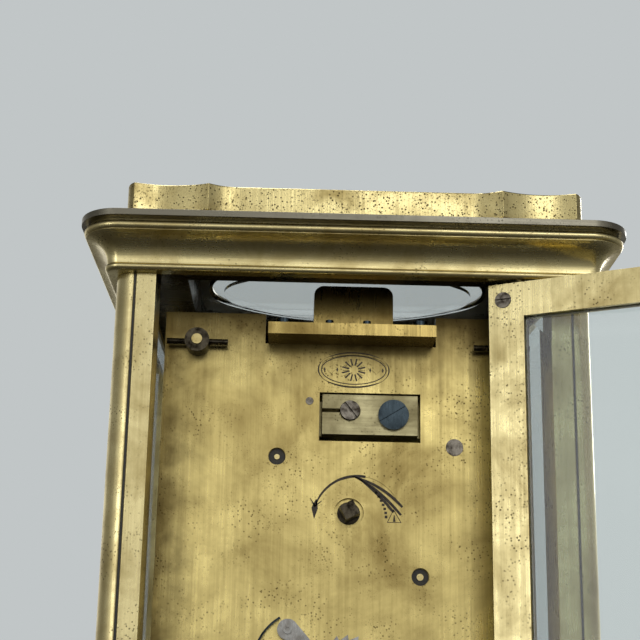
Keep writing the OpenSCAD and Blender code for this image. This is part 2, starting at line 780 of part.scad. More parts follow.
module third_wheel() color(brass) {
    arbor(third_at, 0.9, 0.4, front_y + 0.1, back_in - 0.1);
    pinion_at(third_at, third_leaves, centre_m, facing(third_leaves, centre_at, third_at), -8, -5.6);
    wheel_at(third_at, third_teeth, third_m, aim(third_at, contrate_at), 7, 8);
    bar_y(third_at, 1.8, 5.5, 7.1);
}

block_in = 13.4;
module contrate_wheel() color(brass) {
    bar_y(contrate_at, 0.85, front_y + 0.1, block_in - 0.1);
    bar_y(contrate_at, 0.35, front_out, front_y + 0.2);
    bar_y(contrate_at, 0.35, block_in - 0.2, block_in + 2.6);
    pinion_at(contrate_at, contrate_leaves, third_m, facing(contrate_leaves, third_at, contrate_at), 6, 9);
    along_y(crown_back, crown_back + 0.8) crossed(contrate_at, 2.4, crown_r - 0.9, 4)
        at(contrate_at) circle(crown_r + crown_w / 2);
    along_y(crown_tip, crown_back + e) at(contrate_at) crown_ring();
    along_y(crown_line + 0.4, crown_back + e) at(contrate_at) difference() {
        circle(crown_r + crown_w / 2);
        circle(crown_r - crown_w / 2);
    }
}

// Crown teeth seen end on, with one tooth straight up
module crown_ring() for (k = [0:crown_teeth - 1])
    rotate(90 + 360 * k / crown_teeth) translate([crown_r - crown_w / 2 + 0.05, -0.11])
        square([crown_w - 0.1, 0.22]);

module contrate_block() color(gilt) difference() {
    union() {
        box([-10.2, block_in + 1, 72.5], [4.2, back_y + 0.5, 78.7]);
        box([-13, block_in, 72.7], [6.5, back_in, 78.2]);
    }
    bar_y(contrate_at, 0.35 + slip, block_in - 1, block_in + 2.8);
    bar_y(contrate_at, 1.5, back_y - 1.4, back_y + 2);
    box([contrate_at[0], block_in + 3, 75.95], [6, back_y + 2, 76.45]);
    bar_y(block_screw_at, 1.15, block_in - 1, back_y + 2);
}

block_screw_at = [-6.5, 75.6];
module block_screw() color(blued) translate([block_screw_at[0], back_y + 1.1, block_screw_at[1]])
    face_back(32) screw(2.3, 0.6, 1.13, 4.6, 0.55);

module endshake_screw() color(steel) translate([contrate_at[0], back_y + 1, contrate_at[1]])
    face_back(-52) screw(1.48, 1.1, 1.48, 2.3, 0.45);

module platform() color(gilt) difference() {
    translate([-plat_x, plat_y0, seat_z]) cube([2 * plat_x, plat_y1 - plat_y0, plat_t]);
    translate([0, escape_y, seat_z - 1]) cylinder(h = 5, r = 1.4);
    translate([0, lever_y, seat_z + 0.6]) cylinder(h = 5, r = 0.25 + slip);
    translate([0, balance_y, seat_z + 0.6]) cylinder(h = 5, r = 0.3 + slip);
    for (s = [-1, 1], y = [back_y - plate_t / 2, front_y - plate_t / 2])
        translate([s * 10, y, seat_z - 1]) cylinder(h = 5, r = 0.72);
    translate([0, 15.8, seat_z + 0.4]) cylinder(h = 5, r = 0.7);
    for (x = [10.2, -10.2])
        translate([x, plat_y1 - 1.4, plat_z - 1.2]) cylinder(h = 3, r = 0.61);
    for (x = [3.4, -2.2])
        translate([x, plat_y1 - 0.9, plat_z - 1.2]) cylinder(h = 3, r = 0.36);
}

module platform_screws() color(blued) {
    for (s = [-1, 1], y = [back_y - plate_t / 2, front_y - plate_t / 2])
        translate([s * 10, y, plat_z + 0.7]) rotate(30 * s) screw(1.5, 0.7, 0.7, 5, 0.35);
    for (x = [10.2, -10.2])
        translate([x, plat_y1 - 1.4, plat_z + 0.8]) screw(1.1, 0.8, 0.6, 1.8, 0.35);
    for (x = [3.4, -2.2])
        translate([x, plat_y1 - 0.9, plat_z + 0.6]) screw(0.6, 0.6, 0.35, 1.6, 0.2);
}

module escape_potence() color(brass) difference() {
    union() {
        box([-1.3, -6.4, 80.2], [1.3, -3.8, 81.6]);
        box([-8, -6.4, 80.2], [0, -4.85, 81.6]);
        box([-8, -6.4, 80.2], [-6.2, -4.85, seat_z]);
    }
    translate([0, escape_y, 79]) cylinder(h = 4, r = 0.25 + slip);
}

module escape_wheel() color(steel) {
    translate([0, escape_y, 80.4]) cylinder(h = 1.7, r = 0.25);
    translate([0, escape_y, 82]) cylinder(h = wheel_z - 82 + 0.9, r = 0.38);
    translate([0, escape_y, wheel_z + 0.8]) cylinder(h = escape_cock_z - wheel_z - 0.2, r = 0.25);
    translate([0, escape_y, 82.4]) linear_extrude(2.6)
        toothed(escape_leaves, escape_pd / escape_leaves, 120, 0.9, 1.9, 0.28, 0.18);
    translate([0, escape_y, wheel_z]) linear_extrude(wheel_t) {
        difference() {
            circle(2.2);
            circle(1.7);
        }
        for (k = [0:3])
            rotate(90 * k) translate([0, -0.2]) square([1.9, 0.4]);
        for (k = [0:escape_teeth - 1])
            rotate(360 * k / escape_teeth) polygon([[2.05, -0.35], [escape_r - 0.15, 0.1],
                [escape_r, 0.32], [escape_r - 0.25, 0.34], [2.05, 0.3]]);
    }
}

module escape_cock() color(gilt) difference() {
    union() {
        box([-9, -7.4, escape_cock_z], [9, 0.2, escape_cock_z + 0.8]);
        for (s = [-1, 1])
            box([s * 7.8 - 1.2, -7.4, plat_z], [s * 7.8 + 1.2, 0.2, escape_cock_z + e]);
    }
    translate([0, escape_y, escape_cock_z - 1]) cylinder(h = 4, r = 0.25 + slip);
    translate([0, lever_y, escape_cock_z - 1]) cylinder(h = 4, r = 0.25 + slip);
}

// Lever with its two pallets held clear of the wheel's teeth
module lever() color(steel) translate([0, lever_y, 0]) {
    translate([0, 0, seat_z + 0.8]) cylinder(h = escape_cock_z + 0.7 - seat_z - 0.8, r = 0.25);
    translate([0, 0, wheel_z]) linear_extrude(wheel_t) {
        circle(0.7);
        translate([-0.3, 0]) square([0.6, 4.6]);
        for (s = [-1, 1]) {
            polygon([[s * 0.3, 4.3], [s * 1.1, 4.8], [s * 1.1, 5.7], [s * 0.45, 5.7], [s * 0.45, 4.9],
                [0, 4.5]]);
            polygon([[0, 0.45], [s * 3.2, -0.3], [s * 3.2, -1.7], [s * 2.6, -1.7], [s * 2.4, -0.6],
                [0, -0.45]]);
        }
    }
}

module balance_wheel() color(gilt) translate([0, balance_y, 0]) {
    translate([0, 0, seat_z + 0.8]) cylinder(h = 2.9, r = 0.3);
    translate([0, 0, wheel_z + 0.5]) cylinder(h = 0.4, r = 1.4);
    translate([0, 0, wheel_z + 0.5]) cylinder(h = cock_z - 0.2 - wheel_z - 0.5, r = 0.6);
    translate([0, 0, cock_z - 0.3]) cylinder(h = 1, r = 0.3);
    translate([0, 0, balance_z]) linear_extrude(0.9) difference() {
        circle(balance_r);
        circle(balance_r - 0.8);
    }
    translate([0, 0, balance_z + 0.1]) linear_extrude(0.5) for (a = [20, 140, 260])
        rotate(a) translate([0, -0.45]) square([balance_r - 0.4, 0.9]);
}

module hairspring() color(blued) {
    translate([0, balance_y, balance_z + 1.15]) linear_extrude(0.3) spiral(0.9, 4, 0.12, 6, 24);
    translate([4, balance_y - 0.3, balance_z + 1.15]) cube([0.6, 0.6, cock_z - balance_z - 1.15]);
}

module balance_cock() color(gilt) difference() {
    union() {
        translate([0, 18, 0]) rotate([90, 0, 0]) linear_extrude(5) {
            translate([-6.4, plat_z]) square([12.1, cock_top - plat_z - 1.5]);
            translate([-4.9, plat_z]) square([9.1, cock_top - plat_z]);
            for (x = [-4.9, 4.2])
                translate([x, cock_top - 1.5]) circle(1.5);
        }
        translate([0, 0, cock_z]) linear_extrude(cock_top - cock_z) {
            translate([-2.6, balance_y]) square([5.2, 8.5]);
            translate([0, balance_y]) circle(2.6);
            translate([0, balance_y - 1]) square([5, 2]);
        }
        translate([0, 15.8, plat_z - 1]) cylinder(h = 1.5, r = 0.68);
    }
    translate([0, balance_y, cock_z - 1]) cylinder(h = 1.8, r = 0.3 + slip);
    translate([0, balance_y, cock_top - 0.6]) cylinder(h = 2, r = 1.7 + slip);
}

module regulator() color(steel) {
    difference() {
        translate([0, balance_y, cock_top - 0.55]) cylinder(h = 0.5, r = 1.7);
        translate([0, balance_y, cock_top - 2]) cylinder(h = 4, r = 0.9);
    }
    translate([0, balance_y, cock_top + 0.05]) difference() {
        union() {
            cylinder(h = 0.4, r = 1.9);
            translate([-0.35, 1, 0]) cube([0.7, 8.6, 0.4]);
        }
        translate([0, 0, -1]) cylinder(h = 4, r = 0.9);
    }
    translate([0, balance_y, cock_top - 0.1]) difference() {
        cylinder(h = 0.2, r = 1.6);
        translate([0, 0, -1]) cylinder(h = 4, r = 0.9);
    }
}

module cannon_pinion() color(brass) difference() {
    union() {
        pinion_at(centre_at, cannon_teeth, cannon_m, motion_dir, -14.9, -12.9);
        bar_y(centre_at, 1.3, mask_y + 0.5, -12.6);
    }
    bar_y(centre_at, 0.75, mask_y - 1, 0);
}

module minute_wheel() color(brass) {
    bar_y(minute_at, 0.5, -16.6, front_y);
    bar_y(minute_at, 1.2, -14.2, front_out - 0.3);
    along_y(-14.4, -13.5) at(minute_at)
        wheel_teeth(minute_teeth, cannon_m, motion_dir + 180 + 180 / minute_teeth);
    pinion_at(minute_at, minute_leaves, hour_m, motion_dir + 180, -16.6, -14.4);
}

module hour_wheel() color(brass) difference() {
    union() {
        along_y(-15.9, -15.1) at(centre_at)
            wheel_teeth(hour_teeth, hour_m, motion_dir + 180 / hour_teeth);
        bar_y(centre_at, 2, -18.4, -15.1);
    }
    bar_y(centre_at, 1.3 + slip, mask_y - 1, 0);
}

module dial() color(enamel) difference() {
    union() {
        bar_y(centre_at, dial_r, dial_y - 0.6, dial_y + 0.3);
        for (a = [20, 200])
            bar_y(centre_at + 18 * [cos(a), sin(a)], 0.65, dial_y, front_y);
    }
    bar_y(centre_at, 2.4, dial_y - 2, dial_y + 2);
}

module dial_mask() color(gilt) along_y(mask_y - mask_t, mask_y) difference() {
    translate([-mask_x, base_h]) square([2 * mask_x, pillar_h]);
    at(centre_at) circle(mask_r);
}

// Hand of length l with a swelling near its end, pointing along +Y of its own plane
module hand_outline(l, w) polygon([[-w / 2, 0], [-w * 0.35, l * 0.6], [-w * 1.6, l * 0.74], [0, l],
    [w * 1.6, l * 0.74], [w * 0.35, l * 0.6], [w / 2, 0]]);

module hour_hand() color(blued) along_y(-18.3, -17.9) at(centre_at) difference() {
    union() {
        circle(2.9);
        rotate(60) hand_outline(12, 1.1);
    }
    circle(2);
}

module minute_hand() color(blued) along_y(-19.4, -19) at(centre_at) difference() {
    union() {
        circle(2.1);
        rotate(-60) hand_outline(18, 0.9);
    }
    circle(1.3);
}

base();
cornice();
top_plate();
top_glass();
pillar_front_left();
pillar_front_right();
pillar_back_left();
pillar_back_right();
front_glass();
left_glass();
right_glass();
case_screws();
handle();
handle_post_left();
handle_post_right();
handle_pivot_screws();
door_frame();
door_glass();
door_hinge_pins();
door_corner_screws();
door_knob();
front_plate();
back_plate();
movement_pillars();
pillar_collars();
taper_pins();
movement_screws();
plate_pins();
barrel();
barrel_cover();
barrel_arbor();
mainspring();
ratchet_wheel();
click();
click_spring();
intermediate_wheel();
centre_arbor();
centre_wheel();
third_wheel();
contrate_wheel();
contrate_block();
block_screw();
endshake_screw();
platform();
platform_screws();
escape_potence();
escape_wheel();
escape_cock();
lever();
balance_wheel();
hairspring();
balance_cock();
regulator();
cannon_pinion();
minute_wheel();
hour_wheel();
dial();
dial_mask();
hour_hand();
minute_hand();
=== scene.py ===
import math

import bpy
from mathutils import Matrix, Vector


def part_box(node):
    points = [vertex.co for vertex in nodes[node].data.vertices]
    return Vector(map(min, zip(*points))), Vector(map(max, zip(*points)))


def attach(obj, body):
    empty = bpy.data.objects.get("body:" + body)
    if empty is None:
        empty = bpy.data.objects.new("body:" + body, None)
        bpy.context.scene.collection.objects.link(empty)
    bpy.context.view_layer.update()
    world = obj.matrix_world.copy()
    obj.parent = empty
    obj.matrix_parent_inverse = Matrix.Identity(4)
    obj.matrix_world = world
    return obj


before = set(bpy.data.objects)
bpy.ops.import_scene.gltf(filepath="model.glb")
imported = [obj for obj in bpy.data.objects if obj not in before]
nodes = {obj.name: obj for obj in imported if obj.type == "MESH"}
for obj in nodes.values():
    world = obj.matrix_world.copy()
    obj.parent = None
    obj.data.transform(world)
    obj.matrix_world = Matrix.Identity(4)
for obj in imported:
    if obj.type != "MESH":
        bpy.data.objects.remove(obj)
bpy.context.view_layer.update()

MM = 0.001
scene = bpy.context.scene


def linear(r, g, b):
    """Scene-linear colour of an sRGB colour given in 0 to 255."""
    return [((c / 255 + 0.055) / 1.055) ** 2.4 if c > 10 else c / 255 / 12.92 for c in (r, g, b)] + [1.0]


def middle(node):
    """Middle of a CAD node's box at rest."""
    low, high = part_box(node)
    return (low + high) / 2


# ---------------------------------------------------------------- materials


class Graph:
    """A node tree that is filled by small calls."""

    def __init__(self, tree):
        self.tree = tree

    def add(self, kind, **settings):
        node = self.tree.nodes.new(kind)
        for key, value in settings.items():
            setattr(node, key, value)
        return node

    def plug(self, source, target):
        self.tree.links.new(source, target)

    def band(self, value, low, high, out_low=0.0, out_high=1.0, how="LINEAR"):
        """Value's span from low to high, spread over out_low to out_high."""
        node = self.add("ShaderNodeMapRange", interpolation_type=how)
        limits = zip(("From Min", "From Max", "To Min", "To Max"), (low, high, out_low, out_high))
        for socket, number in limits:
            node.inputs[socket].default_value = number
        self.plug(value, node.inputs["Value"])
        return node.outputs["Result"]

    def math(self, how, a, b=0):
        node = self.add("ShaderNodeMath", operation=how)
        for socket, value in zip(node.inputs, (a, b)):
            if isinstance(value, (int, float)):
                socket.default_value = value
            else:
                self.plug(value, socket)
        return node.outputs["Value"]

    def mix(self, share, a, b):
        """Colour a where share is 0 and colour b where it is 1."""
        node = self.add("ShaderNodeMix", data_type="RGBA")
        self.plug(share, node.inputs["Factor"])
        for socket, value in ((node.inputs[6], a), (node.inputs[7], b)):
            if isinstance(value, list):
                socket.default_value = value
            else:
                self.plug(value, socket)
        return node.outputs[2]

    def axes(self, vector):
        """Outputs X, Y and Z of a vector."""
        node = self.add("ShaderNodeSeparateXYZ")
        self.plug(vector, node.inputs["Vector"])
        return node.outputs


class Shader(Graph):
    """A Principled material, with patterns that are placed on the clock itself."""

    def __init__(self, name):
        self.material = bpy.data.materials.new(name)
        self.material.use_nodes = True
        super().__init__(self.material.node_tree)
        self.surface = self.tree.nodes["Principled BSDF"]
        coordinates = self.add("ShaderNodeTexCoord")
        self.place = coordinates.outputs["Object"]
        self.facing = coordinates.outputs["Normal"]

    def set(self, **values):
        for key, value in values.items():
            self.surface.inputs[key.replace("_", " ")].default_value = value

    def stretched(self, scale):
        node = self.add("ShaderNodeMapping")
        node.inputs["Scale"].default_value = scale
        self.plug(self.place, node.inputs["Vector"])
        return node.outputs["Vector"]

    def noise(self, scale, detail=4.0, roughness=0.55, stretch=(1, 1, 1), distortion=0.0):
        node = self.add("ShaderNodeTexNoise")
        node.inputs["Scale"].default_value = scale
        node.inputs["Detail"].default_value = detail
        node.inputs["Roughness"].default_value = roughness
        node.inputs["Distortion"].default_value = distortion
        self.plug(self.stretched(stretch), node.inputs["Vector"])
        return node.outputs["Fac"]

    def dots(self, scale):
        node = self.add("ShaderNodeTexVoronoi")
        node.inputs["Scale"].default_value = scale
        self.plug(self.place, node.inputs["Vector"])
        return node.outputs["Distance"]

    def inside(self, half):
        """1 within half = (x, y) of the clock's middle line, in metres, and 0 outside it."""
        place = self.axes(self.place)
        near_x = self.math("LESS_THAN", self.math("ABSOLUTE", place["X"]), half[0])
        near_y = self.math("LESS_THAN", self.math("ABSOLUTE", place["Y"]), half[1])
        return self.math("MULTIPLY", near_x, near_y)

    def away_from(self, place, near, far, flat="Y"):
        """0 within near of place and 1 beyond far, in metres, measured across the axis called flat."""
        node = self.add("ShaderNodeMapping", vector_type="POINT")
        node.inputs["Location"].default_value = tuple(-p for p in place)
        node.inputs["Scale"].default_value = tuple(0 if axis == flat else 1 for axis in "XYZ")
        self.plug(self.place, node.inputs["Vector"])
        length = self.add("ShaderNodeVectorMath", operation="LENGTH")
        self.plug(node.outputs["Vector"], length.inputs[0])
        return self.band(length.outputs["Value"], near, far)

    def facing_up(self):
        """1 on faces that look up, and 0 on upright faces and undersides."""
        return self.band(self.axes(self.facing)["Z"], 0.6, 0.95)

    def bump(self, height, strength, depth):
        node = self.add("ShaderNodeBump")
        node.inputs["Strength"].default_value = strength
        node.inputs["Distance"].default_value = depth
        self.plug(height, node.inputs["Height"])
        self.plug(node.outputs["Normal"], self.surface.inputs["Normal"])

    def finish(self, colour=None, roughness=None):
        if colour is not None:
            self.plug(colour, self.surface.inputs["Base Color"])
        if roughness is not None:
            self.plug(roughness, self.surface.inputs["Roughness"])
        return self.material


def plate_shade_and_wear(s, colour, tarnish, dark, half_width, top, hub):
    """Painted shade along a plate's sides and top, and a worn ring round its middle arbor."""
    place = s.axes(s.place)
    ragged = s.band(s.noise(140, 4.0, 0.6), 0.3, 0.7, -2.5 * MM, 2.5 * MM)
    side = s.math("ADD", s.math("ABSOLUTE", place["X"]), ragged)
    rise = s.math("ADD", place["Z"], ragged)
    # Painted shade: the plate darkens towards its sides and its top
    side_shade = s.band(side, half_width - 7 * MM, half_width, 0.0, 0.8)
    top_shade = s.band(rise, top - 13 * MM, top - 2 * MM, 0.0, 0.85)
    colour = s.mix(s.math("MAXIMUM", side_shade, top_shade), colour, dark)
    past_arbor = s.away_from(hub, 1.5 * MM, 2.4 * MM)
    past_ring = s.away_from(hub, 3.6 * MM, 5.2 * MM)
    wear = s.band(s.noise(700, 4.0, 0.6), 0.35, 0.65, 0.15, 0.6)
    return s.mix(s.math("MULTIPLY", s.math("SUBTRACT", past_arbor, past_ring), wear), colour, tarnish)


def pit_marks(s, pits_from):
    """Two sizes of small round pits, gathered where slow noise rises above pits_from."""
    large_cover = s.band(s.noise(160, 4.0, 0.6), pits_from, pits_from + 0.17)
    small_cover = s.band(s.noise(260, 3.0, 0.6), pits_from + 0.05, pits_from + 0.23)
    large = s.math("MULTIPLY", s.band(s.dots(1900), 0.3, 0.16), large_cover)
    small = s.math("MULTIPLY", s.band(s.dots(4200), 0.26, 0.12), small_cover)
    return s.math("MAXIMUM", large, small)


def aged_metal(name, colours, rough, grain, speck=0.5, blotch=110, tarnish_from=0.5, wave=0.0,
               shade_inside=None, grey_side_reflection=None, shade_and_wear_at=None, pits_from=0.45):
    """Metal with long brush marks along grain, soft tarnish and small dark pits.

    colours are its clean, tarnished and dirty colours. shade_inside is the half-size of a well where shade
    is painted in the dirty colour, rim a grey reflection painted on faces that don't look up, and
    shade_and_wear_at what plate_shade_and_wear needs for its painted shade and worn ring.
    """
    light, tarnish, dark = colours
    s = Shader(name)
    s.set(Metallic=1.0)
    clouds = s.noise(blotch, 6.0, 0.62, distortion=0.4)
    brush = s.noise(1.0, 3.0, 0.6, stretch=grain)
    fine = s.noise(1.0, 2.0, 0.5, stretch=tuple(g * 3.1 for g in grain))
    streaks = s.math("ADD", s.math("MULTIPLY", brush, 0.6), s.math("MULTIPLY", fine, 0.4))
    colour = s.mix(s.band(clouds, tarnish_from - 0.08, tarnish_from + 0.22), light, tarnish)
    colour = s.mix(s.band(streaks, 0.42, 0.75, 0.0, 0.38), colour, tarnish)
    marks = s.math("MULTIPLY", pit_marks(s, pits_from), speck)
    colour = s.mix(marks, colour, dark)
    if shade_inside is not None:
        # Painted shade: inside the well the colour turns to the dirty colour
        colour = s.mix(s.inside(shade_inside), colour, dark)
    if grey_side_reflection is not None:
        # Painted reflection: faces that don't look up take a grey colour instead of the brass
        colour = s.mix(s.facing_up(), grey_side_reflection, colour)
    # Painted shade along the plate's sides and top, and its worn ring
    if shade_and_wear_at is not None:
        colour = plate_shade_and_wear(s, colour, tarnish, dark, *shade_and_wear_at)
    height = s.math("SUBTRACT", streaks, s.math("MULTIPLY", marks, 1.4))
    if wave:
        height = s.math("ADD", height, s.math("MULTIPLY", s.noise(28, 1.0, 0.4), wave * 40))
    s.bump(height, 0.22, 0.06 * MM)
    roughness = s.math("ADD", s.band(clouds, 0.35, 0.7, rough - 0.06, rough + 0.1),
                       s.band(streaks, 0.4, 0.7, -0.03, 0.07))
    return s.finish(colour, s.math("ADD", roughness, s.math("MULTIPLY", marks, 0.3)))


def steel(name, light, dark, rough=0.28, wear_scale=900):
    """Turned steel with fine lines and soft spots of wear."""
    s = Shader(name)
    s.set(Metallic=1.0)
    wear = s.noise(wear_scale, 4.0, 0.6)
    lines = s.noise(1.0, 3.0, 0.6, stretch=(5200, 5200, 700))
    s.bump(lines, 0.15, 0.03 * MM)
    colour = s.mix(s.band(wear, 0.4, 0.65), light, dark)
    return s.finish(colour, s.band(lines, 0.35, 0.7, rough - 0.06, rough + 0.12))


def pane(name, edge):
    """Clear glass whose bevels and edges, which face off the pane's flat sides, take the edge colour."""
    s = Shader(name)
    s.set(Metallic=0.0, IOR=1.46, Transmission_Weight=1.0)
    facing = s.axes(s.facing)
    along = [s.math("ABSOLUTE", facing[axis]) for axis in "XYZ"]
    flat = s.math("MAXIMUM", s.math("MAXIMUM", along[0], along[1]), along[2])
    colour = s.mix(s.band(flat, 0.995, 0.999), edge, linear(240, 245, 244))
    smear = s.noise(45, 5.0, 0.6)
    return s.finish(colour, s.band(smear, 0.5, 0.75, 0.01, 0.06))


def enamel(name):
    """White dial enamel under a clear coat."""
    s = Shader(name)
    s.set(Metallic=0.0, Coat_Weight=0.6, Coat_Roughness=0.04)
    cloud = s.noise(60, 4.0, 0.5)
    s.bump(s.noise(400, 2.0, 0.5), 0.03, 0.05 * MM)
    return s.finish(s.mix(s.band(cloud, 0.35, 0.7), linear(244, 242, 234), linear(233, 229, 216)),
                    s.band(cloud, 0.3, 0.7, 0.12, 0.2))


def paint(name, light, dark):
    """Dry dark paint with worn spots."""
    s = Shader(name)
    worn = s.noise(1600, 4.0, 0.6)
    return s.finish(s.mix(s.band(worn, 0.45, 0.65), dark, light), s.band(worn, 0.3, 0.7, 0.35, 0.55))


# Scale of the brush marks along X, Y and Z: long along the brushing and short across it
ALONG_X = (30, 1500, 1500)
ALONG_Z = (1500, 1500, 30)
EVEN = (900, 900, 900)

# Clean, tarnished and dirty colours of each kind of brass; the dirty colour is also the colour of painted
# shade in the cornice's well and along the plates
DIRT_AND_SHADE = linear(52, 40, 20)
BRASS = (linear(222, 209, 156), linear(168, 150, 98), DIRT_AND_SHADE)
HANDLE_BRASS = (linear(212, 198, 142), linear(160, 142, 90), DIRT_AND_SHADE)
TOP_BRASS = (linear(222, 209, 156), linear(176, 158, 106), linear(60, 50, 32))
PLATE_GILT = (linear(226, 208, 138), linear(152, 133, 80), linear(58, 44, 20))
COCK_GILT = (linear(168, 148, 90), linear(108, 88, 44), DIRT_AND_SHADE)
BLOCK_BRASS = (linear(172, 164, 126), linear(116, 106, 74), DIRT_AND_SHADE)
WHEEL_BRASS = (linear(222, 209, 156), linear(160, 138, 78), DIRT_AND_SHADE)
MASK_GILT = (linear(222, 194, 122), linear(208, 180, 108), DIRT_AND_SHADE)

# Half the width and depth of the cornice's inside, where shade is painted in the dirty colour
SHADED_WELL = (31 * MM, 26.5 * MM)
hub = middle("centre_arbor")
plate_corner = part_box("back_plate")[1]
# Where the back plate's painted shade and worn ring lie
plate_shade_and_wear_at = (plate_corner.x, plate_corner.z, (hub.x, 0, hub.z))

base_brass = aged_metal("brass_base", BRASS, 0.27, ALONG_X, 0.6)
# The cornice's inside carries painted shade
case_x = aged_metal("brass_brushed_across", BRASS, 0.27, ALONG_X, 0.55, shade_inside=SHADED_WELL)
case_z = aged_metal("brass_brushed_upright", BRASS, 0.29, ALONG_Z, 0.7)
# The top plate's faces that don't look up carry a painted grey reflection
rim_brass = aged_metal("brass_top_plate", TOP_BRASS, 0.3, ALONG_X, 0.6, grey_side_reflection=linear(128, 124, 110))
handle_brass = aged_metal("brass_handle", HANDLE_BRASS, 0.24, ALONG_Z, 0.85, 150, wave=0.25, pits_from=0.3)
plate_gilt = aged_metal("gilt_plate", PLATE_GILT, 0.31, ALONG_Z, 0.6, 60, 0.46, wave=0.8,
                        shade_and_wear_at=plate_shade_and_wear_at)
cock_gilt = aged_metal("gilt_cock", COCK_GILT, 0.3, ALONG_Z, 0.5)
block_brass = aged_metal("pale_block", BLOCK_BRASS, 0.34, ALONG_X, 0.5)
wheel_brass = aged_metal("wheel_brass", WHEEL_BRASS, 0.28, EVEN, 0.3)
mask_gilt = aged_metal("gilt_mask", MASK_GILT, 0.4, EVEN, 0.2)
bright_steel = steel("bright_steel", linear(166, 166, 164), linear(134, 131, 126), wear_scale=500)
screw_steel = steel("screw_steel", linear(128, 122, 112), linear(52, 46, 40), 0.32)
blued_steel = steel("blued_steel", linear(54, 64, 70), linear(32, 38, 42), 0.2, 300)
dark_steel = steel("dark_steel", linear(78, 72, 60), linear(26, 22, 16), 0.3)
clear_glass = pane("bevelled_glass", linear(234, 241, 239))
top_pane = pane("oval_glass", linear(96, 108, 98))
white_enamel = enamel("white_enamel")
black_paint = paint("black_enamel", linear(22, 20, 20), linear(44, 40, 38))
# Dried oil for the sinks; the same dark colour is painted shade in the pillars' grooves
oil_and_groove_shade = paint("dried_oil_and_groove_shade", linear(64, 60, 44), linear(30, 28, 20))
# Fill of the engraving; the same colour paints shade along the stamp's raised oval
engraving_and_shade = paint("engraving_fill_and_shade", linear(30, 24, 14), linear(58, 44, 22))

FINISH = {
    case_x: ["cornice"],
    base_brass: ["base"],
    rim_brass: ["top_plate"],
    case_z: ["pillar_front_left", "pillar_front_right", "pillar_back_left", "pillar_back_right",
             "door_frame", "door_knob"],
    handle_brass: ["handle", "handle_post_left", "handle_post_right"],
    plate_gilt: ["front_plate", "back_plate"],
    block_brass: ["contrate_block"],
    cock_gilt: ["platform", "balance_cock", "escape_cock", "escape_potence"],
    mask_gilt: ["dial_mask"],
    top_pane: ["top_glass"],
    clear_glass: ["front_glass", "left_glass", "right_glass", "door_glass"],
    bright_steel: ["door_hinge_pins", "barrel_arbor", "mainspring", "ratchet_wheel", "click",
                   "escape_wheel", "lever", "regulator"],
    dark_steel: ["taper_pins", "pillar_collars", "centre_arbor"],
    screw_steel: ["case_screws", "door_corner_screws", "movement_screws", "endshake_screw", "plate_pins"],
    blued_steel: ["handle_pivot_screws", "block_screw", "platform_screws", "hour_hand", "minute_hand",
                  "hairspring", "click_spring"],
    white_enamel: ["dial"],
}
named = {name for names in FINISH.values() for name in names}
FINISH[wheel_brass] = [name for name in nodes if name not in named]

for material, names in FINISH.items():
    for name in names:
        slots = nodes[name].data.materials
        for k in range(len(slots)):
            slots[k] = material
        if not slots:
            slots.append(material)

# ---------------------------------------------------------------- edges of the CAD pieces

# Width of the eased edge in millimetres, and the nodes that have it
EDGE = {
    0.30: ["base", "cornice", "handle"],
    0.22: ["top_plate", "door_frame", "handle_post_left", "handle_post_right", "balance_cock", "platform"],
    0.12: ["front_plate", "back_plate", "contrate_block", "escape_cock", "door_corner_screws", "block_screw",
           "platform_screws", "handle_pivot_screws", "endshake_screw", "dial_mask", "movement_pillars",
           "pillar_front_left", "pillar_front_right", "pillar_back_left", "pillar_back_right"],
}


def smooth(piece, angle=32):
    """Rounds the shading of a curved surface and keeps true corners crisp."""
    bpy.context.view_layer.objects.active = piece
    for other in bpy.context.selected_objects:
        other.select_set(False)
    piece.select_set(True)
    if piece.data.has_custom_normals:
        bpy.ops.mesh.customdata_custom_splitnormals_clear()
    bpy.ops.object.shade_smooth_by_angle(angle=math.radians(angle))


def ease_edges(piece, width):
    """Small bevel, width millimetres wide, that catches light along a piece's edges."""
    weld = piece.modifiers.new("weld", "WELD")
    weld.merge_threshold = 0.002 * MM
    bevel = piece.modifiers.new("edge", "BEVEL")
    bevel.width = width * MM
    bevel.segments = 2
    bevel.limit_method = "ANGLE"
    bevel.angle_limit = math.radians(38)
    bevel.harden_normals = True
    bevel.use_clamp_overlap = True


for node in nodes.values():
    smooth(node)
for width, names in EDGE.items():
    for name in names:
        ease_edges(nodes[name], width)

# ---------------------------------------------------------------- camera, floor and light


def look(camera, target):
    """Turns a camera or a lamp towards target."""
    camera.rotation_mode = "QUATERNION"
    camera.rotation_quaternion = (target - camera.location).to_track_quat("-Z", "Y")


def aim_camera(camera, pitch, yaw, roll):
    """Turns the camera to face the clock's back, from angles in degrees."""
    pitch, yaw, roll = (math.radians(angle) for angle in (pitch, yaw, roll))
    forward = Vector((math.sin(yaw) * math.cos(pitch), -math.cos(yaw) * math.cos(pitch), math.sin(pitch)))
    right = forward.cross(Vector((0, 0, 1))).normalized()
    up = right.cross(forward)
    across = right * math.cos(roll) + up * math.sin(roll)
    above = up * math.cos(roll) - right * math.sin(roll)
    camera.rotation_mode = "QUATERNION"
    camera.rotation_quaternion = Matrix((across, above, -forward)).transposed().to_quaternion()


# Lens and sensor in millimetres, angles in degrees
CAMERA_AT = Vector((8.1, 199.7, 29.6)) * MM
LENS = 70.43
SENSOR_W = 36.0
SHIFT_UP = 0.14
PITCH, YAW, ROLL = 14.4, -1.13, 1.02
camera_data = bpy.data.cameras.new("camera")
camera_data.sensor_width = SENSOR_W
camera_data.lens = LENS
camera_data.shift_y = SHIFT_UP
camera_data.clip_start = 0.01
camera = bpy.data.objects.new("camera", camera_data)
scene.collection.objects.link(camera)
camera.location = CAMERA_AT
aim_camera(camera, PITCH, YAW, ROLL)
scene.camera = camera


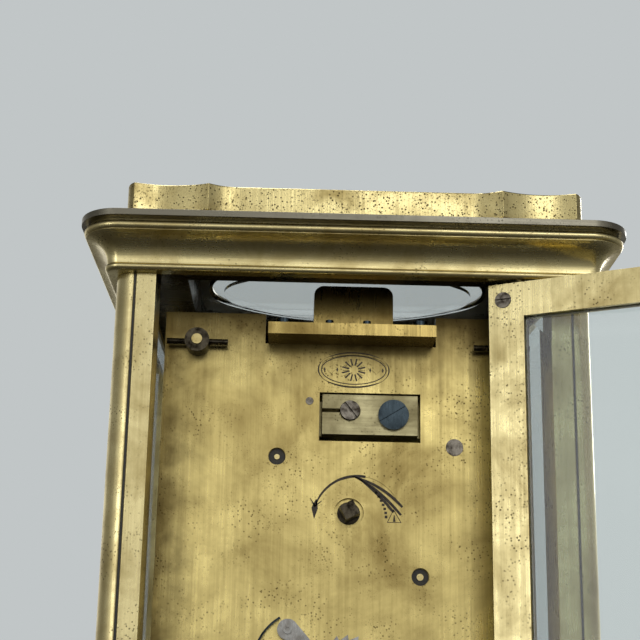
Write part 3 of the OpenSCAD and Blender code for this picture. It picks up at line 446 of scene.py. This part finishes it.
def floor_finish():
    """Pale floor that fades into the surroundings, and that the brass mirrors as dark close by."""
    s = Shader("pale_floor")
    s.set(Roughness=0.6)
    rays = s.add("ShaderNodeLightPath")
    seen = s.math("MAXIMUM", rays.outputs["Is Camera Ray"], rays.outputs["Is Transmission Ray"])
    mirrored = s.mix(s.away_from((0, 0, 0), 0.12, 0.6, "Z"), linear(64, 62, 56), linear(196, 196, 190))
    pale = s.mix(s.noise(3.0), linear(214, 217, 217), linear(206, 210, 210))
    glow = s.math("MULTIPLY", s.away_from((0, 0, 0), 0.15, 0.9, "Z"), seen)
    s.plug(pale, s.surface.inputs["Emission Color"])
    s.plug(s.math("MULTIPLY", glow, 0.4), s.surface.inputs["Emission Strength"])
    return s.finish(s.mix(seen, mirrored, pale))


HALF_FLOOR = 2.0
FLOOR_CORNERS = [(x * HALF_FLOOR, y * HALF_FLOOR, 0) for x, y in ((-1, -1), (1, -1), (1, 1), (-1, 1))]
floor_mesh = bpy.data.meshes.new("floor")
floor_mesh.from_pydata(FLOOR_CORNERS, [], [(0, 1, 2, 3)])
floor_mesh.materials.append(floor_finish())
floor = bpy.data.objects.new("floor", floor_mesh)
scene.collection.objects.link(floor)

# Brightness of the surroundings from straight down (0) through level (0.5) to straight up (1)
SKY = [(0.0, 0.03), (0.42, 0.12), (0.48, 0.85), (0.6, 1.15), (0.7, 0.66), (0.82, 0.2), (1.0, 0.42)]


def make_world():
    """Plain pale surroundings; in the brass they are brightest level with it, in front and behind."""
    world = bpy.data.worlds.new("studio")
    world.use_nodes = True
    g = Graph(world.node_tree)
    g.tree.nodes.clear()
    towards = g.axes(g.add("ShaderNodeTexCoord").outputs["Generated"])
    ramp = g.add("ShaderNodeValToRGB")
    elements = ramp.color_ramp.elements
    while len(elements) < len(SKY):
        elements.new(0.5)
    for element, (place, level) in zip(elements, SKY):
        element.position = place
        element.color = (level, level * 0.99, level * 0.96, 1)
    g.plug(g.band(towards["Z"], -1.0, 1.0), ramp.inputs["Fac"])
    lit = g.add("ShaderNodeBackground")
    g.plug(ramp.outputs["Color"], lit.inputs["Color"])
    spread = g.band(g.math("ABSOLUTE", towards["Y"]), 0.25, 0.92, 0.3, 1.0, "SMOOTHSTEP")
    g.plug(spread, lit.inputs["Strength"])
    plain = g.add("ShaderNodeBackground")
    plain.inputs["Color"].default_value = linear(193, 198, 199)
    path = g.add("ShaderNodeLightPath")
    seen = g.math("MAXIMUM", path.outputs["Is Camera Ray"], path.outputs["Is Transmission Ray"])
    share = g.add("ShaderNodeMixShader")
    g.plug(seen, share.inputs["Fac"])
    g.plug(lit.outputs["Background"], share.inputs[1])
    g.plug(plain.outputs["Background"], share.inputs[2])
    g.plug(share.outputs["Shader"], g.add("ShaderNodeOutputWorld").inputs["Surface"])
    scene.world = world


def softbox(name, place, size, power, target=(0, 0, 60)):
    """Rectangular lamp; place, size and target are in millimetres and power in watts."""
    data = bpy.data.lights.new(name, "AREA")
    data.shape = "RECTANGLE"
    data.size, data.size_y = size[0] * MM, size[1] * MM
    data.energy = power
    lamp = bpy.data.objects.new(name, data)
    scene.collection.objects.link(lamp)
    lamp.location = Vector(place) * MM
    lamp.visible_camera = False
    lamp.visible_transmission = False
    look(lamp, Vector(target) * MM)


make_world()
softbox("key", (-120, 520, 300), (240, 180), 0.22)
softbox("fill", (300, 480, 120), (120, 300), 0.2)
softbox("top", (60, 60, 520), (200, 200), 0.9)
softbox("front", (-240, -520, 300), (320, 260), 1.7)
scene.view_settings.view_transform = "Standard"

# ---------------------------------------------------------------- dial


def new_piece(name, mesh, material):
    """Fixed piece with the given material, attached to the root body."""
    piece = bpy.data.objects.new(name, mesh)
    scene.collection.objects.link(piece)
    mesh.materials.append(material)
    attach(piece, "root")
    return piece


def flat_piece(name, corners, faces, material, slot, thickness=0.03):
    """Thin piece from flat faces, thickened to both sides; thickness is in millimetres."""
    mesh = bpy.data.meshes.new(name)
    mesh.from_pydata(corners, [], faces)
    piece = new_piece(name, mesh, material)
    thick = piece.modifiers.new("thick", "SOLIDIFY")
    thick.thickness = thickness * MM
    thick.offset = 0.0


centre = middle("hour_wheel")
dial_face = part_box("dial")[0].y

# Height of a numeral and its middle's distance from the dial's centre, in millimetres
NUMERAL_SIZE = 5.2
NUMERAL_RADIUS = 15.6
NUMERAL_NARROWING = 0.8
HOURS = ["I", "II", "III", "IIII", "V", "VI", "VII", "VIII", "IX", "X", "XI", "XII"]


def numeral(text, hour):
    """Roman numeral that stands on the dial with its foot towards the centre."""
    curve = bpy.data.curves.new("numeral", "FONT")
    curve.body = text
    curve.align_x = "CENTER"
    curve.align_y = "CENTER"
    curve.size = NUMERAL_SIZE * MM
    curve.extrude = 0.03 * MM
    curve.offset = 0.06 * MM
    made = bpy.data.objects.new("numeral", curve)
    mesh = bpy.data.meshes.new_from_object(made)
    bpy.data.objects.remove(made)
    turn = math.radians(30 * hour)
    for v in mesh.vertices:
        x, y = v.co.x * NUMERAL_NARROWING, v.co.y + NUMERAL_RADIUS * MM
        along = x * math.cos(turn) + y * math.sin(turn)
        up = -x * math.sin(turn) + y * math.cos(turn)
        v.co = (centre.x + along, dial_face - 0.04 * MM - v.co.z, centre.z + up)
    mesh.flip_normals()
    return mesh


for hour, text in enumerate(HOURS, 1):
    new_piece(f"numeral_{hour}", numeral(text, hour), black_paint)

# Inner and outer radii in millimetres, and half the width of a tick in radians
TRACK_RINGS = ((18.5, 18.65), (19.5, 19.65))
TICK = (18.6, 19.55)
MINUTE_HALF, HOUR_HALF = 0.005, 0.014
TRACK_STEPS = 240


def minute_track():
    """Corners and faces of two thin rings with sixty ticks between them, wider at the hours."""
    corners, faces = [], []

    def ring_point(r, a):
        x, z = centre.x + r * MM * math.sin(a), centre.z + r * MM * math.cos(a)
        corners.append((x, dial_face - 0.05 * MM, z))
        return len(corners) - 1

    def patch(radii, a0, a1):
        r0, r1 = radii
        faces.append([ring_point(r0, a0), ring_point(r0, a1), ring_point(r1, a1), ring_point(r1, a0)])

    for radii in TRACK_RINGS:
        for k in range(TRACK_STEPS):
            patch(radii, math.tau * k / TRACK_STEPS, math.tau * (k + 1) / TRACK_STEPS)
    for k in range(60):
        half = MINUTE_HALF if k % 5 else HOUR_HALF
        patch(TICK, math.tau * k / 60 - half, math.tau * k / 60 + half)
    return corners, faces


flat_piece("minute_track", *minute_track(), black_paint, "enamel", 0.04)

# ---------------------------------------------------------------- painted shade in the pillars' grooves

# In millimetres: from the corner to the groove's middle, its depth at the painted shade strip, and that
# strip's width
GROOVE_FROM_CORNER = 3.0
GROOVE_SINK = 0.12
GROOVE_SHADE_W = 0.3
GROOVE_END = 0.2 * MM


def groove_shade(pillar):
    """Dark strips of painted shade along the two fine grooves of a corner pillar."""
    low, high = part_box(pillar)
    side = 1 if high.x > 0 else -1
    face = 1 if high.y > 0 else -1
    corner = Vector((high.x if side > 0 else low.x, high.y if face > 0 else low.y, 0))
    inward = Vector((-side, -face, 0)) * MM
    corners, faces = [], []
    for across, out in ((0, 1), (1, 0)):
        for offset in (-GROOVE_SHADE_W / 2, GROOVE_SHADE_W / 2):
            spot = corner.copy()
            spot[across] += inward[across] * (GROOVE_FROM_CORNER + offset)
            spot[out] += inward[out] * GROOVE_SINK
            corners += [(spot.x, spot.y, low.z + GROOVE_END), (spot.x, spot.y, high.z - GROOVE_END)]
        first = len(corners) - 4
        faces.append((first, first + 1, first + 3, first + 2))
    flat_piece(pillar.replace("pillar", "groove_shade"), corners, faces, oil_and_groove_shade, "case_brass")


for pillar in ("pillar_front_left", "pillar_front_right", "pillar_back_left", "pillar_back_right"):
    groove_shade(pillar)

# ---------------------------------------------------------------- filled engraving and the stamp's painted shade on the back plate

plate_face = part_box("pillar_collars")[0].y
INLAY_LIFT = 0.012 * MM
arrow_mid = (centre.x, centre.z)
STAMP_AT = (-0.5, 82.7)
stamp_mid = (STAMP_AT[0] * MM, STAMP_AT[1] * MM)


def stroke(points, widths, closed=False):
    """Flat line of changing width on the back plate, through points given as (x, z)."""
    corners, faces = [], []
    count = len(points)
    for k, (x, z) in enumerate(points):
        before = points[k - 1] if k or closed else points[k]
        after = points[(k + 1) % count] if k < count - 1 or closed else points[k]
        across = Vector((after[1] - before[1], before[0] - after[0])).normalized() * widths[k] / 2
        for side in (1, -1):
            corners.append((x + side * across.x, plate_face + INLAY_LIFT, z + side * across.y))
    for k in range(count if closed else count - 1):
        a, b = 2 * k, 2 * ((k + 1) % count)
        faces.append((a, a + 1, b + 1, b))
    return corners, faces


def on_plate(mid, *places):
    """Points from places given in millimetres to the right and up of mid, seen from the back."""
    return [(mid[0] - right * MM, mid[1] + up * MM) for right, up in places]


def arc(mid, radius, start, end, steps):
    """Points along an arc about mid; its radius is in millimetres and its angles in degrees."""
    turns = [math.radians(start + (end - start) * k / steps) for k in range(steps + 1)]
    return [(mid[0] + radius * MM * math.cos(turn), mid[1] + radius * MM * math.sin(turn)) for turn in turns]


def bezier(points, steps):
    """Points along the smooth curve that four control points give."""
    found = []
    for k in range(steps + 1):
        t = k / steps
        weights = ((1 - t) ** 3, 3 * t * (1 - t) ** 2, 3 * t * t * (1 - t), t ** 3)
        found.append(tuple(sum(w * p[axis] for w, p in zip(weights, points)) for axis in (0, 1)))
    return found


def swell(count, first, last, crest=0.0):
    """Widths along a stroke, in millimetres, that change from first to last with a crest between."""
    steps = [k / (count - 1) for k in range(count)]
    return [(first + (last - first) * t + crest * math.sin(math.pi * t)) * MM for t in steps]


def engraving(name, strokes):
    """One thin piece made of several strokes in the engraving's fill colour; round the stamp they are
    painted shade.
    """
    corners, faces = [], []
    for part_corners, part_faces in strokes:
        first = len(corners)
        corners += part_corners
        faces += [tuple(first + i for i in face) for face in part_faces]
    flat_piece(name, corners, faces, engraving_and_shade, "blued_steel")


# Control points of the three lines, in millimetres to the right and up of the hand-setting square
ARROW_TAILS = (((0.4, 5.5), (3.2, 4.9), (6.0, 3.2), (7.9, 1.0)),
               ((0.8, 5.4), (3.0, 4.5), (5.4, 2.6), (7.7, -0.2)),
               ((1.2, 5.3), (2.7, 4.3), (4.9, 2.4), (6.6, 0.2)))
BEADS = 7


def arrow_strokes():
    """Curved shaft with a barbed head, whose tail opens into three lines with a row of beads."""
    shaft = arc(on_plate(arrow_mid, (1.3, -1.0))[0], 6.55, 100, 20, 30)
    parts = [stroke(shaft, swell(len(shaft), 0.36, 0.24, 0.06))]
    for tail in ARROW_TAILS:
        line = bezier(on_plate(arrow_mid, *tail), 24)
        parts.append(stroke(line, swell(len(line), 0.14, 0.36, 0.14)))
    for k in range(BEADS):
        t = k / (BEADS - 1)
        right, up = 4.0 + 1.5 * math.sin(t * math.pi / 2), 3.1 - 3.6 * t
        bead = on_plate(arrow_mid, (right - 0.2, up), (right + 0.2, up))
        parts.append(stroke(bead, [(0.3 + 0.12 * t) * MM] * 2))
    end = on_plate(arrow_mid, (6.6, 0.6), (7.7, -1.3), (5.7, -1.3))
    parts.append(stroke(end, [0.2 * MM] * 3, True))
    drop = on_plate(arrow_mid, (6.7, -0.2), (6.7, -1.2))
    parts.append(stroke(drop, [0.1 * MM, 0.4 * MM]))
    head = on_plate(arrow_mid, (-5.1, -1.0), (-5.05, 0.6), (-4.8, 1.9))
    parts.append(stroke(head, [0.05 * MM, 0.95 * MM, 0.2 * MM]))
    barbs = on_plate(arrow_mid, (-5.75, 2.1), (-5.0, 0.9), (-4.0, 1.7))
    parts.append(stroke(barbs, [0.08 * MM, 0.4 * MM, 0.08 * MM]))
    return parts


# Half width, half height and line width of each painted shade outline, and the ornament's other sizes, in
# millimetres
STAMP_SHADE_LINES = ((5.36, 2.72, 0.2), (4.9, 2.24, 0.14))
OVAL_STEPS = 72
RAYS = 12
RAY_ENDS = (0.7, 1.8)
DOTS_OUT = (2.5, 4.4)
DOT_HALF = 0.35


def oval_point(mid, half_x, half_z, turn):
    """Point of an oval about mid, at an angle in radians."""
    return mid[0] + half_x * MM * math.cos(turn), mid[1] + half_z * MM * math.sin(turn)


def stamp_strokes():
    """Plain ornament: painted shade as dark outlines on both sides of the raised oval, rays in its middle,
    and dots.
    """
    parts = []
    for half_x, half_z, width in STAMP_SHADE_LINES:
        oval = [oval_point(stamp_mid, half_x, half_z, math.tau * k / OVAL_STEPS) for k in range(OVAL_STEPS)]
        # Painted shade: dark outline along one side of the raised oval
        parts.append(stroke(oval, [width * MM] * OVAL_STEPS, True))
    for k in range(RAYS):
        turn = math.tau * (k + 0.5) / RAYS
        ray = [oval_point(stamp_mid, r, r, turn) for r in RAY_ENDS]
        parts.append(stroke(ray, [0.2 * MM, 0.24 * MM]))
    for side in (-1, 1):
        for out in DOTS_OUT:
            dot = on_plate(stamp_mid, (-side * out, -DOT_HALF), (-side * out, 0), (-side * out, DOT_HALF))
            parts.append(stroke(dot, [0.04 * MM, 0.3 * MM, 0.04 * MM]))
    return parts


engraving("arrow_inlay", arrow_strokes())
engraving("stamp_marks_and_shade", stamp_strokes())

# ---------------------------------------------------------------- dried oil in the oil sinks

# In millimetres
SINK_DEPTH = 0.6
OIL_DEPTH = 0.05
OIL_INNER, OIL_OUTER = 0.45, 1.26
OIL_STEPS = 40
oil_y = plate_face - (SINK_DEPTH - OIL_DEPTH) * MM


def sink_oil(wheel):
    """Thin ring that lies on the floor of the sink round a wheel's pivot."""
    mid = middle(wheel)
    ring = [oval_point((mid.x, mid.z), r, r, math.tau * k / OIL_STEPS)
            for r in (OIL_INNER, OIL_OUTER) for k in range(OIL_STEPS)]
    corners = [(x, oil_y, z) for x, z in ring]
    after = [(k + 1) % OIL_STEPS for k in range(OIL_STEPS)]
    faces = [(k, after[k], OIL_STEPS + after[k], OIL_STEPS + k) for k in range(OIL_STEPS)]
    flat_piece(f"oil_{wheel}", corners, faces, oil_and_groove_shade, "gilt_plate")


for wheel in ("intermediate_wheel", "third_wheel"):
    sink_oil(wheel)
